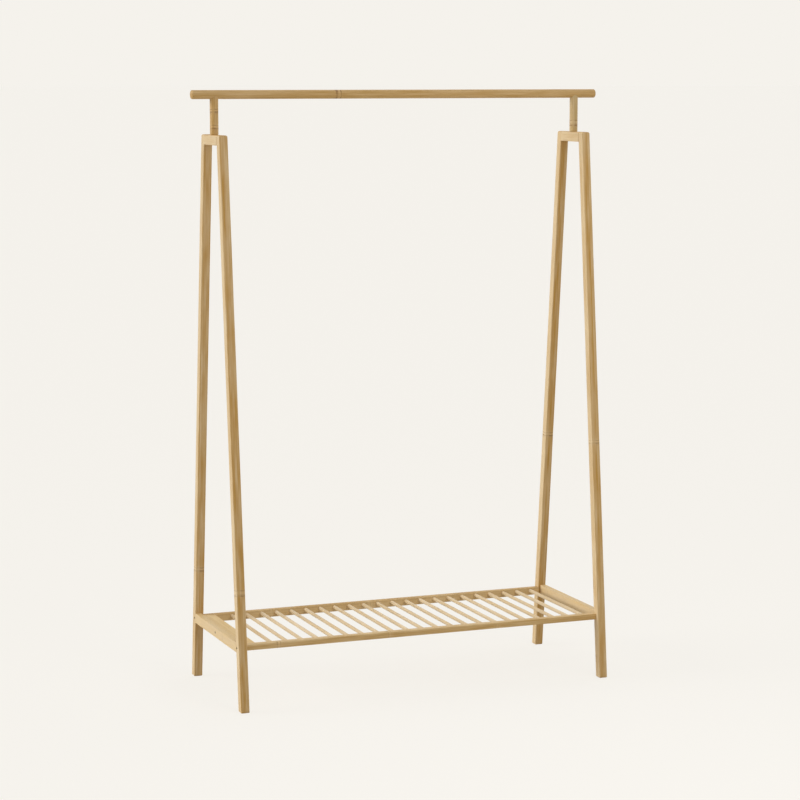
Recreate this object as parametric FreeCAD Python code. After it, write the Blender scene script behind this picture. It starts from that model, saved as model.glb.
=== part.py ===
import FreeCAD, Part
import math
import os

from FreeCAD import Placement, Rotation, Vector

# A free-standing hanging rack of laminated bamboo: two leaning end frames, a round rail on two posts
# above them, and a low slatted shelf between them. Millimetres, +Z up, origin on the floor below the
# middle of the rack, +X along the rail to the right, -Y towards the front.

# Overall sizes
RAIL_TOP = 1500.0            # floor to the top of the hanging rail
FRAME_SPACING = 964.0        # between the middles of the two end frames
FOOT_DEPTH = 420.0           # across the feet, front to back, outside
SHOULDER_DEPTH = 146.0       # across the leg tops, front to back, outside

# End frames
LEG_SIZE = 22.0              # square section of a leg
LEG_EDGE = 2.0               # rounding of a leg's long edges
FOOT_EDGE = 4.0              # rounding around the sole of a foot
SHOULDER_EDGE = 5.0          # rounding around the top of a frame
BLOCK_HEIGHT = 25.0
BLOCK_EDGE = 1.5             # rounding along the underside of a block
CROSSBAR_HEIGHT = 25.0
CROSSBAR_THICKNESS = 16.0
CROSSBAR_EDGE = 2.0

# Hanging rail and posts
RAIL_DIAMETER = 22.0
RAIL_OVERHANG = 58.0         # rail beyond the middle of each end frame
RAIL_EDGE = 3.0              # rounding of the rail's ends
POST_DIAMETER = 21.0
POST_HEIGHT = 86.0           # top of a block to the underside of the rail
COPE_GAP = 0.1               # between a post's hollowed top and the rail

# Shelf
SHELF_TOP = 164.0            # floor to the top of the long rails
RAIL_SETBACK = 10.0          # long rails' outer faces behind the legs' outer faces, at rung height
FRONT_RAIL_HEIGHT = 15.0
FRONT_RAIL_DEPTH = 19.0
BACK_RAIL_HEIGHT = 20.0
BACK_RAIL_DEPTH = 16.0
SHELF_RAIL_EDGE = 2.5
RUNG_COUNT = 22
RUNG_DIAMETER = 9.0
RUNG_INSERT = 6.5            # length of a rung inside each long rail
RUNG_END_GAP = 27.0          # clear gap between the last rung and the right crossbar
SLAT_WIDTH = 36.0
SLAT_THICKNESS = 12.0
SLAT_DROP = 1.0              # top of the end slat below the top of the long rails
SLAT_EDGE = 1.5
SLAT_GAP = 0.1               # between a slat's end and the long rail beside it

# Dowels
BLOCK_DOWEL_DIAMETER = 6.0
SMALL_DOWEL_DIAMETER = 5.0   # crossbar and slat dowels
RAIL_DOWEL_DIAMETER = 8.0
DOWEL_IN_LEG = 12.0
DOWEL_IN_BLOCK = 15.0
DOWEL_IN_CROSSBAR = 15.0
DOWEL_IN_SHELF_RAIL = 6.5
DOWEL_IN_SLAT = 14.0
RAIL_DOWEL_IN_RAIL = 11.0
RAIL_DOWEL_IN_POST = 25.0
SLAT_DOWEL_INSET = 8.0       # slat dowels from the slat's inner edge
DOWEL_WALL = 1.2             # wood left between a crossbar dowel and a screw's head bore
DOWEL_GAP = 0.05             # all round a dowel or rung in its hole
HOLE_END_GAP = 0.5           # beyond the end of a dowel, rung or screw in a blind hole

# Screws of the shelf and bolts of the posts
SCREW_DIAMETER = 4.2
SCREW_HEAD_DIAMETER = 6.0
SCREW_HEAD_HEIGHT = 3.5
SCREW_SOCKET = 3.0           # across the flats
SCREW_SOCKET_DEPTH = 2.0
SCREW_RECESS = 0.4           # head below the surface
SCREW_BITE = 18.0            # length in the end of a long rail
SLAT_SCREW_BITE = 24.0       # length in the edge of the end slat
BOLT_DIAMETER = 6.0
BOLT_HEAD_DIAMETER = 10.0
BOLT_HEAD_HEIGHT = 6.0
BOLT_SOCKET = 5.0
BOLT_SOCKET_DEPTH = 3.0
BOLT_RECESS = 1.0
BOLT_BITE = 36.0             # length in the foot of a post
SCREW_GAP = 0.1              # all round a screw or bolt in its hole

# Places worked out from the sizes above
RAIL_LENGTH = FRAME_SPACING + 2 * RAIL_OVERHANG
SHOULDER_HEIGHT = RAIL_TOP - RAIL_DIAMETER - POST_HEIGHT
TILT = math.atan2((FOOT_DEPTH - SHOULDER_DEPTH) / 2, SHOULDER_HEIGHT)
LEG_RUN = LEG_SIZE / math.cos(TILT)
FRAME_X = FRAME_SPACING / 2
FRAME_OUTER_X = FRAME_X + LEG_SIZE / 2
FRAME_INNER_X = FRAME_X - LEG_SIZE / 2
CROSSBAR_INNER_X = FRAME_OUTER_X - CROSSBAR_THICKNESS
RAIL_RADIUS = RAIL_DIAMETER / 2
RAIL_AXIS_Z = RAIL_TOP - RAIL_RADIUS
RUNG_Z = SHELF_TOP - FRONT_RAIL_HEIGHT / 2
CROSSBAR_TOP = RUNG_Z + CROSSBAR_HEIGHT / 2
SLAT_TOP = SHELF_TOP - SLAT_DROP
SLAT_MID_Z = SLAT_TOP - SLAT_THICKNESS / 2
SLAT_INNER_X = SLAT_WIDTH - CROSSBAR_INNER_X
LEFT, RIGHT = -1, 1
FRONT, REAR = -1, 1
HEXAGON_SIDES = 6
SAME_PLACE = 1e-6            # lengths shorter than this count as nothing
SIDE_NAMES = {LEFT: "left", RIGHT: "right"}
LEG_NAMES = {FRONT: "front_leg", REAR: "rear_leg"}


def outer_half_depth(z):
    """Distance from the middle plane to a leg's outer face at height z."""
    return FOOT_DEPTH / 2 - z * math.tan(TILT)


def inner_half_depth(z):
    """Distance from the middle plane to a leg's inner face at height z."""
    return outer_half_depth(z) - LEG_RUN


SHELF_HALF_DEPTH = outer_half_depth(RUNG_Z) - RAIL_SETBACK
FRONT_INNER_Y = FRONT_RAIL_DEPTH - SHELF_HALF_DEPTH
BACK_INNER_Y = SHELF_HALF_DEPTH - BACK_RAIL_DEPTH
SCREW_Y = (inner_half_depth(RUNG_Z) + SHELF_HALF_DEPTH) / 2
LAST_RUNG_X = CROSSBAR_INNER_X - RUNG_END_GAP - RUNG_DIAMETER / 2
RUNG_PITCH = (LAST_RUNG_X - RUNG_DIAMETER / 2 - SLAT_INNER_X) / RUNG_COUNT
CROSSBAR_DOWEL_RISE = (SMALL_DOWEL_DIAMETER + SCREW_HEAD_DIAMETER) / 2 + SCREW_GAP + DOWEL_WALL


def edges_along(shape, axis):
    """The straight edges of a shape that run along an axis."""
    found = []
    for edge in shape.Edges:
        start, end = (vertex.Point for vertex in edge.Vertexes)
        if (end - start).cross(axis).Length < SAME_PLACE:
            found.append(edge)
    return found


def box_between(low, high):
    """A box from its lowest to its highest corner."""
    size = high - low
    return Part.makeBox(size.x, size.y, size.z, low)


def rounded_bar(low, high, axis, radius):
    """A box whose edges along one axis are rounded."""
    bar = box_between(low, high)
    return bar.makeFillet(radius, edges_along(bar, axis))


def rod(start, direction, length, diameter):
    """A round rod from a point along a direction."""
    return Part.makeCylinder(diameter / 2, length, start, direction)


def hole(start, direction, length, diameter, gap):
    """The clearance hole of a rod: wider all round, and deeper by the end gap at both ends."""
    first = start - direction * HOLE_END_GAP
    return rod(first, direction, length + 2 * HOLE_END_GAP, diameter + 2 * gap)


def frame_prism(side, half_depth):
    """A frame's outline between its legs' outer or inner faces, as thick as a leg."""
    x = side * FRAME_X - LEG_SIZE / 2
    foot = half_depth(0)
    shoulder = half_depth(SHOULDER_HEIGHT)
    corners = [(-foot, 0), (foot, 0), (shoulder, SHOULDER_HEIGHT), (-shoulder, SHOULDER_HEIGHT)]
    points = [Vector(x, y, z) for y, z in corners]
    outline = Part.makePolygon(points + points[:1])
    return Part.Face(outline).extrude(Vector(LEG_SIZE, 0, 0))


def frame_envelope(side):
    """A frame's outside with its top edges rounded over."""
    prism = frame_prism(side, outer_half_depth)
    top_edges = [edge for edge in prism.Edges
                 if all(abs(vertex.Z - SHOULDER_HEIGHT) < SAME_PLACE for vertex in edge.Vertexes)]
    return prism.makeFillet(SHOULDER_EDGE, top_edges)


def joint_direction(end):
    """The way a dowel runs from a leg's inner face into the piece between the legs."""
    return Vector(0, -end * math.cos(TILT), -math.sin(TILT))


def leg_dowel(side, end, x, z, diameter, in_bar):
    """Start, direction, length and diameter of a dowel from a leg into the piece that meets it."""
    direction = joint_direction(end)
    seat = Vector(side * x, end * inner_half_depth(z), z)
    return seat - direction * DOWEL_IN_LEG, direction, DOWEL_IN_LEG + in_bar, diameter


def block_dowels(side, end):
    """Two dowels at the quarter heights of a block's end."""
    middle = SHOULDER_HEIGHT - BLOCK_HEIGHT / 2
    heights = (middle - BLOCK_HEIGHT / 4, middle + BLOCK_HEIGHT / 4)
    return [leg_dowel(side, end, FRAME_X, z, BLOCK_DOWEL_DIAMETER, DOWEL_IN_BLOCK) for z in heights]


def crossbar_dowels(side, end):
    """Two dowels at a crossbar's end, above and below the screw that crosses the leg there."""
    x = FRAME_OUTER_X - CROSSBAR_THICKNESS / 2
    heights = (RUNG_Z - CROSSBAR_DOWEL_RISE, RUNG_Z + CROSSBAR_DOWEL_RISE)
    return [leg_dowel(side, end, x, z, SMALL_DOWEL_DIAMETER, DOWEL_IN_CROSSBAR) for z in heights]


def slat_dowels():
    """A dowel between each end of the slat and the long rail there, clear of the rail's end screw."""
    x = SLAT_INNER_X - SLAT_DOWEL_INSET
    length = DOWEL_IN_SHELF_RAIL + DOWEL_IN_SLAT
    front = Vector(x, FRONT_INNER_Y - DOWEL_IN_SHELF_RAIL, SLAT_MID_Z)
    back = Vector(x, BACK_INNER_Y + DOWEL_IN_SHELF_RAIL, SLAT_MID_Z)
    return [(front, Vector(0, 1, 0), length, SMALL_DOWEL_DIAMETER),
            (back, Vector(0, -1, 0), length, SMALL_DOWEL_DIAMETER)]


def rail_dowel(side):
    """The dowel on a post's axis, between the post and the rail."""
    start = Vector(side * FRAME_X, 0, RAIL_AXIS_Z - RAIL_RADIUS - RAIL_DOWEL_IN_POST)
    return start, Vector(0, 0, 1), RAIL_DOWEL_IN_POST + RAIL_DOWEL_IN_RAIL, RAIL_DOWEL_DIAMETER


def dowel_holes(dowels):
    """The holes of a list of dowels, as one shape."""
    return Part.makeCompound([hole(*dowel, DOWEL_GAP) for dowel in dowels])


def hexagon_socket(across_flats, depth):
    """A hexagon socket that opens at Z = 0 and goes up."""
    reach = across_flats / 2 / math.cos(math.pi / HEXAGON_SIDES)
    angles = [2 * math.pi * corner / HEXAGON_SIDES for corner in range(HEXAGON_SIDES)]
    points = [Vector(reach * math.cos(angle), reach * math.sin(angle), 0) for angle in angles]
    return Part.Face(Part.makePolygon(points + points[:1])).extrude(Vector(0, 0, depth))


def turned_to(shape, point, direction):
    """A shape made along +Z, moved to a point and turned along a direction."""
    shape.Placement = Placement(point, Rotation(Vector(0, 0, 1), direction))
    return shape


def leg_screw_seats():
    """Surface point and direction of each screw through a leg into the end of a long rail."""
    return [(Vector(side * FRAME_OUTER_X, end * SCREW_Y, RUNG_Z), Vector(-side, 0, 0))
            for side in (LEFT, RIGHT) for end in (FRONT, REAR)]


def slat_screw_seat():
    """Surface point and direction of the screw through the left crossbar into the end slat."""
    return Vector(-FRAME_OUTER_X, 0, SLAT_MID_Z), Vector(1, 0, 0)


def bolt_seat(side):
    """Surface point and direction of the bolt up through a block into its post."""
    return Vector(side * FRAME_X, 0, SHOULDER_HEIGHT - BLOCK_HEIGHT), Vector(0, 0, 1)


def socket_screw(seat, length, diameter, head_diameter, head_height, recess, socket, socket_depth):
    """A screw whose head is sunk below a surface; length is from that surface to the screw's tip."""
    point, direction = seat
    up = Vector(0, 0, 1)
    head = rod(Vector(0, 0, recess), up, head_height, head_diameter)
    shank = rod(Vector(0, 0, recess), up, length - recess, diameter)
    recess_shape = hexagon_socket(socket, socket_depth)
    recess_shape.translate(Vector(0, 0, recess))
    return turned_to(head.fuse(shank).removeSplitter().cut(recess_shape), point, direction)


def screw_hole(seat, length, diameter, head_diameter, head_height, recess):
    """The stepped hole of a sunk screw."""
    point, direction = seat
    up = Vector(0, 0, 1)
    head_depth = recess + head_height + HOLE_END_GAP
    head = rod(Vector(0, 0, -HOLE_END_GAP), up, head_depth, head_diameter + 2 * SCREW_GAP)
    shank = rod(Vector(0, 0, 0), up, length + HOLE_END_GAP, diameter + 2 * SCREW_GAP)
    return turned_to(head.fuse(shank), point, direction)


SCREW_HEAD = (SCREW_DIAMETER, SCREW_HEAD_DIAMETER, SCREW_HEAD_HEIGHT, SCREW_RECESS)
BOLT_HEAD = (BOLT_DIAMETER, BOLT_HEAD_DIAMETER, BOLT_HEAD_HEIGHT, BOLT_RECESS)
LEG_SCREW_LENGTH = LEG_SIZE + SCREW_BITE
SLAT_SCREW_LENGTH = CROSSBAR_THICKNESS + SLAT_SCREW_BITE
BOLT_LENGTH = BLOCK_HEIGHT + BOLT_BITE


def leg_screw_holes():
    """The holes of all the screws through the legs, as one shape."""
    holes = [screw_hole(seat, LEG_SCREW_LENGTH, *SCREW_HEAD) for seat in leg_screw_seats()]
    return Part.makeCompound(holes)


def slat_screw_hole():
    """The hole of the screw through the left crossbar."""
    return screw_hole(slat_screw_seat(), SLAT_SCREW_LENGTH, *SCREW_HEAD)


def bolt_hole(side):
    """The hole of the bolt through a block into its post."""
    return screw_hole(bolt_seat(side), BOLT_LENGTH, *BOLT_HEAD)


def footed_leg(side, end):
    """A leg's outline with sharp long edges and a sole that is rounded all round."""
    x = side * FRAME_X - LEG_SIZE / 2
    corners = [(outer_half_depth, 0), (inner_half_depth, 0),
               (inner_half_depth, SHOULDER_HEIGHT), (outer_half_depth, SHOULDER_HEIGHT)]
    points = [Vector(x, end * half_depth(z), z) for half_depth, z in corners]
    prism = Part.Face(Part.makePolygon(points + points[:1])).extrude(Vector(LEG_SIZE, 0, 0))
    sole = [edge for edge in prism.Edges if edge.BoundBox.ZMax < SAME_PLACE]
    return prism.makeFillet(FOOT_EDGE, sole)


def leg(side, end):
    """One leaning leg: a rounded square bar within the frame's rounded top and its own rounded sole."""
    overrun = LEG_SIZE
    length = SHOULDER_HEIGHT / math.cos(TILT)
    low = Vector(-LEG_SIZE / 2, 0, -overrun)
    high = Vector(LEG_SIZE / 2, LEG_SIZE, length + overrun)
    bar = rounded_bar(low, high, Vector(0, 0, 1), LEG_EDGE)
    bar.Placement = Placement(Vector(side * FRAME_X, -FOOT_DEPTH / 2, 0),
                              Rotation(Vector(1, 0, 0), -math.degrees(TILT)))
    if end == REAR:
        bar = bar.mirror(Vector(0, 0, 0), Vector(0, 1, 0))
    shape = bar.common(frame_envelope(side)).common(footed_leg(side, end))
    dowels = block_dowels(side, end) + crossbar_dowels(side, end)
    return shape.cut(dowel_holes(dowels)).cut(leg_screw_holes())


def top_block(side):
    """The block between the tops of a frame's legs."""
    x = side * FRAME_X
    low = Vector(x - LEG_SIZE / 2, -outer_half_depth(0), SHOULDER_HEIGHT - BLOCK_HEIGHT)
    high = Vector(x + LEG_SIZE / 2, outer_half_depth(0), SHOULDER_HEIGHT)
    bar = box_between(low, high)
    long_edges = edges_along(bar, Vector(0, 1, 0))
    under = [edge for edge in long_edges if edge.BoundBox.ZMax < high.z - SAME_PLACE]
    bar = bar.makeFillet(BLOCK_EDGE, under)
    shape = bar.common(frame_envelope(side)).common(frame_prism(side, inner_half_depth))
    dowels = block_dowels(side, FRONT) + block_dowels(side, REAR)
    return shape.cut(dowel_holes(dowels)).cut(bolt_hole(side))


def crossbar(side):
    """The bar between a frame's legs at the shelf, flush with their outer faces."""
    middle_x = side * (FRAME_OUTER_X - CROSSBAR_THICKNESS / 2)
    low = Vector(middle_x - CROSSBAR_THICKNESS / 2, -FOOT_DEPTH / 2, CROSSBAR_TOP - CROSSBAR_HEIGHT)
    high = Vector(middle_x + CROSSBAR_THICKNESS / 2, FOOT_DEPTH / 2, CROSSBAR_TOP)
    bar = rounded_bar(low, high, Vector(0, 1, 0), CROSSBAR_EDGE)
    shape = bar.common(frame_prism(side, inner_half_depth))
    shape = shape.cut(dowel_holes(crossbar_dowels(side, FRONT) + crossbar_dowels(side, REAR)))
    return shape.cut(slat_screw_hole()) if side == LEFT else shape


def hanging_rail():
    """The round rail, with rounded ends and a blind hole over each post."""
    shape = rod(Vector(-RAIL_LENGTH / 2, 0, RAIL_AXIS_Z), Vector(1, 0, 0), RAIL_LENGTH, RAIL_DIAMETER)
    rims = [edge for edge in shape.Edges if edge.BoundBox.XLength < SAME_PLACE]
    shape = shape.makeFillet(RAIL_EDGE, rims)
    return shape.cut(dowel_holes([rail_dowel(LEFT), rail_dowel(RIGHT)]))


def post(side):
    """A round post that stands on its block and is hollowed at the top to hold the rail."""
    shape = rod(Vector(side * FRAME_X, 0, SHOULDER_HEIGHT), Vector(0, 0, 1),
                RAIL_AXIS_Z - SHOULDER_HEIGHT, POST_DIAMETER)
    cope = rod(Vector(-RAIL_LENGTH / 2, 0, RAIL_AXIS_Z), Vector(1, 0, 0), RAIL_LENGTH,
               RAIL_DIAMETER + 2 * COPE_GAP)
    return shape.cut(cope).cut(dowel_holes([rail_dowel(side)])).cut(bolt_hole(side))


def rung_axis(number):
    """Start, direction, length and diameter of a rung, counted from 1 at the left."""
    x = SLAT_INNER_X + number * RUNG_PITCH + RUNG_DIAMETER / 2
    start = Vector(x, FRONT_INNER_Y - RUNG_INSERT, RUNG_Z)
    return start, Vector(0, 1, 0), BACK_INNER_Y - FRONT_INNER_Y + 2 * RUNG_INSERT, RUNG_DIAMETER


def shelf_rail(outer_y, inner_y, height):
    """A long rail of the shelf, drilled for the rungs, the slat's dowels and the screws in its ends."""
    low = Vector(-FRAME_INNER_X, min(outer_y, inner_y), SHELF_TOP - height)
    high = Vector(FRAME_INNER_X, max(outer_y, inner_y), SHELF_TOP)
    shape = rounded_bar(low, high, Vector(1, 0, 0), SHELF_RAIL_EDGE)
    rungs = [rung_axis(number) for number in range(1, RUNG_COUNT + 1)]
    return shape.cut(dowel_holes(rungs + slat_dowels())).cut(leg_screw_holes())


def left_end_slat():
    """The flat slat that closes the shelf's left end against the crossbar."""
    low = Vector(-CROSSBAR_INNER_X, FRONT_INNER_Y + SLAT_GAP, SLAT_TOP - SLAT_THICKNESS)
    high = Vector(SLAT_INNER_X, BACK_INNER_Y - SLAT_GAP, SLAT_TOP)
    shape = rounded_bar(low, high, Vector(0, 1, 0), SLAT_EDGE)
    return shape.cut(dowel_holes(slat_dowels())).cut(slat_screw_hole())


def all_dowels(make):
    """One kind of leg dowel at every leg, as separate solids."""
    return Part.makeCompound([rod(*dowel) for side in (LEFT, RIGHT) for end in (FRONT, REAR)
                              for dowel in make(side, end)])


def shelf_screws():
    """The screws through the legs, and the one through the left crossbar, as separate solids."""
    socket = (SCREW_SOCKET, SCREW_SOCKET_DEPTH)
    screws = [socket_screw(seat, LEG_SCREW_LENGTH, *SCREW_HEAD, *socket) for seat in leg_screw_seats()]
    screws.append(socket_screw(slat_screw_seat(), SLAT_SCREW_LENGTH, *SCREW_HEAD, *socket))
    return Part.makeCompound(screws)


def post_bolts():
    """The bolt under each post, as separate solids."""
    socket = (BOLT_SOCKET, BOLT_SOCKET_DEPTH)
    seats = (bolt_seat(LEFT), bolt_seat(RIGHT))
    return Part.makeCompound([socket_screw(seat, BOLT_LENGTH, *BOLT_HEAD, *socket) for seat in seats])


def build():
    """Every node of the rack, by name."""
    nodes = {"hanging_rail": hanging_rail()}
    for side, side_name in SIDE_NAMES.items():
        nodes[side_name + "_post"] = post(side)
        nodes[side_name + "_top_block"] = top_block(side)
        nodes[side_name + "_crossbar"] = crossbar(side)
        for end, leg_name in LEG_NAMES.items():
            nodes[side_name + "_" + leg_name] = leg(side, end)
    nodes["front_shelf_rail"] = shelf_rail(-SHELF_HALF_DEPTH, FRONT_INNER_Y, FRONT_RAIL_HEIGHT)
    nodes["back_shelf_rail"] = shelf_rail(SHELF_HALF_DEPTH, BACK_INNER_Y, BACK_RAIL_HEIGHT)
    nodes["left_end_slat"] = left_end_slat()
    for number in range(1, RUNG_COUNT + 1):
        nodes["rung_%02d" % number] = rod(*rung_axis(number))
    nodes["rail_dowels"] = Part.makeCompound([rod(*rail_dowel(side)) for side in (LEFT, RIGHT)])
    nodes["block_dowels"] = all_dowels(block_dowels)
    nodes["crossbar_dowels"] = all_dowels(crossbar_dowels)
    nodes["slat_dowels"] = Part.makeCompound([rod(*dowel) for dowel in slat_dowels()])
    nodes["shelf_screws"] = shelf_screws()
    nodes["post_bolts"] = post_bolts()
    return nodes


os.makedirs("parts", exist_ok=True)
for name, shape in build().items():
    shape.exportStep("parts/" + name + ".step")
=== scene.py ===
"""Looks of a bamboo hanging rack with a slatted shelf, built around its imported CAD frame."""

import logging
import math
from dataclasses import dataclass
from enum import Enum

import bpy
import numpy as np
from mathutils import Euler, Matrix, Vector


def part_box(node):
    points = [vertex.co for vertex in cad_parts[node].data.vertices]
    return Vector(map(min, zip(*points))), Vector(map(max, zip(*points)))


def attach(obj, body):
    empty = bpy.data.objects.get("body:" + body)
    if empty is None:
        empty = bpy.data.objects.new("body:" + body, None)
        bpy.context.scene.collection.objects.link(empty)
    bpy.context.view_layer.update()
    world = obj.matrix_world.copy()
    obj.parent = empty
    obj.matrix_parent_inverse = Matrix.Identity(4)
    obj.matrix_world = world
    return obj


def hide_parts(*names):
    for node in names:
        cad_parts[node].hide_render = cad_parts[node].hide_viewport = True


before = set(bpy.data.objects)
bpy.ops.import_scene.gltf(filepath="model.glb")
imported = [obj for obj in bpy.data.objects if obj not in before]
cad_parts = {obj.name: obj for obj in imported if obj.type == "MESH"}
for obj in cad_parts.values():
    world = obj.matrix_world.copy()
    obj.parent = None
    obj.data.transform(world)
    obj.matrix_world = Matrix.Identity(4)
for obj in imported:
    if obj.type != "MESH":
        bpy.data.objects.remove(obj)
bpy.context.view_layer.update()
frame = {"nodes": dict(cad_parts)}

BODY = "root"
MM = 0.001                      # lengths are in metres
FAR = 1.0                       # a width that no piece reaches, for pieces without long edges or strips
LONE = 2.0                      # a pitch of growth joints that leaves one on a piece
WHITE = (1, 1, 1, 1)
X_AXIS, Y_AXIS, Z_AXIS = Vector((1, 0, 0)), Vector((0, 1, 0)), Vector((0, 0, 1))
Color = tuple[float, float, float, float]
Place = tuple[float, float, float]
Socket = bpy.types.NodeSocket
log = logging.getLogger("rack")


class Side(Enum):
    """The two end frames, by the word that starts their nodes' names."""

    LEFT = "left"
    RIGHT = "right"


class End(Enum):
    """The two legs of an end frame, by the side of the middle plane that the foot is on."""

    FRONT = -1
    REAR = 1


@dataclass(frozen=True)
class WoodFinish:
    """Tones, gloss and relief of satin-lacquered wood."""

    slot: str
    pale: Color
    tan: Color
    brown: Color
    roughness: float
    coat: float
    bump: float = 0.3
    specular: float = 0.3


@dataclass(frozen=True)
class MetalFinish:
    """Tones and gloss of a small metal fastener."""

    slot: str
    base: Color
    worn: Color
    metallic: float
    roughness: float
    specular: float = 0.5


@dataclass(frozen=True)
class Streak:
    """How a noise is drawn out: its scales along the fibres, across the plies and on the third axis."""

    scale: Place
    detail: float


@dataclass(frozen=True)
class CulmMarks:
    """Where the growth joints of the bamboo cross a piece.

    pitch is the distance between two marks on one strip, offset the place of a mark from the piece's middle,
    spread how far the strips are out of step (0 in step, 1 at random), share how many of the marks show,
    and depth how dark their lines are.
    """

    pitch: float = 0.27
    offset: float = 0.0
    spread: float = 1.0
    share: float = 0.45
    depth: float = 0.42


@dataclass(frozen=True)
class Grain:
    """How the strips lie in one piece: fibres along, plies stacked across, half sections for the edges."""

    centre: Vector
    along: Vector
    across: Vector
    seed: float
    half_across: float = FAR
    half_wide: float = FAR
    ply: float = 5.5 * MM
    strip: float = 26.0 * MM
    face: float = 0.42          # how much paler the flat of a ply is than its edge
    culm: CulmMarks = CulmMarks()

    def turn(self) -> Euler:
        """The rotation from the piece's own axes (along, across, wide) to the frame's."""
        wide = self.along.cross(self.across)
        return Matrix((self.along, self.across, wide)).transposed().to_euler()


@dataclass(frozen=True)
class LegJoint:
    """The growth joint of a leg: its height above the floor, and how dark its lines are."""

    height: float
    depth: float


FRAME_BAMBOO = WoodFinish("bamboo_frame", (0.77, 0.59, 0.345, 1), (0.53, 0.287, 0.062, 1),
                          (0.33, 0.180, 0.060, 1), roughness=0.48, coat=0.06, specular=0.25)
CROSSBAR_BAMBOO = WoodFinish("bamboo_frame", (0.74, 0.555, 0.315, 1), (0.78, 0.550, 0.235, 1),
                             (0.40, 0.225, 0.085, 1), roughness=0.48, coat=0.06, specular=0.25)
ROUND_BAMBOO = WoodFinish("bamboo_round", (0.74, 0.51, 0.250, 1), (0.50, 0.286, 0.074, 1),
                          (0.32, 0.162, 0.046, 1), roughness=0.46, coat=0.06, specular=0.25)
PALE_ROUND_BAMBOO = WoodFinish("bamboo_round", (0.74, 0.56, 0.330, 1), (0.50, 0.335, 0.112, 1),
                               (0.32, 0.162, 0.046, 1), roughness=0.46, coat=0.06, specular=0.25)
SHELF_BAMBOO = WoodFinish("bamboo_shelf", (0.77, 0.56, 0.290, 1), (0.53, 0.305, 0.088, 1),
                          (0.33, 0.180, 0.060, 1), roughness=0.56, coat=0.02, specular=0.2)
# Paler than the shelf rails' finish: painted light that lifts the shade the crossbar casts on the slat's
# top.
SLAT_BAMBOO_PAINTED_LIGHT = WoodFinish("bamboo_shelf", (0.87, 0.645, 0.325, 1), (0.70, 0.450, 0.160, 1),
                         (0.40, 0.220, 0.075, 1), roughness=0.56, coat=0.02, specular=0.2)
RUNG_BAMBOO = WoodFinish("bamboo_rung", (0.85, 0.69, 0.465, 1), (0.71, 0.525, 0.290, 1),
                         (0.44, 0.270, 0.115, 1), roughness=0.45, coat=0.10)
DOWEL_BEECH = WoodFinish("beech_dowel", (0.72, 0.53, 0.340, 1), (0.58, 0.390, 0.225, 1),
                         (0.36, 0.210, 0.110, 1), roughness=0.62, coat=0.0)
BLACK_OXIDE = MetalFinish("black_screw", (0.016, 0.014, 0.012, 1), (0.060, 0.052, 0.045, 1),
                          metallic=0.0, roughness=0.56, specular=0.15)
ZINC_PLATE = MetalFinish("zinc_bolt", (0.60, 0.60, 0.58, 1), (0.42, 0.41, 0.39, 1),
                         metallic=1.0, roughness=0.34)
NO_JOINTS = CulmMarks(share=0.0)
LEFT_JOINTS = {End.FRONT: LegJoint(0.291, 1.1), End.REAR: LegJoint(0.287, 1.3)}
RIGHT_JOINTS = {End.FRONT: LegJoint(0.605, 0.8), End.REAR: LegJoint(0.588, 1.3)}


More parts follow.
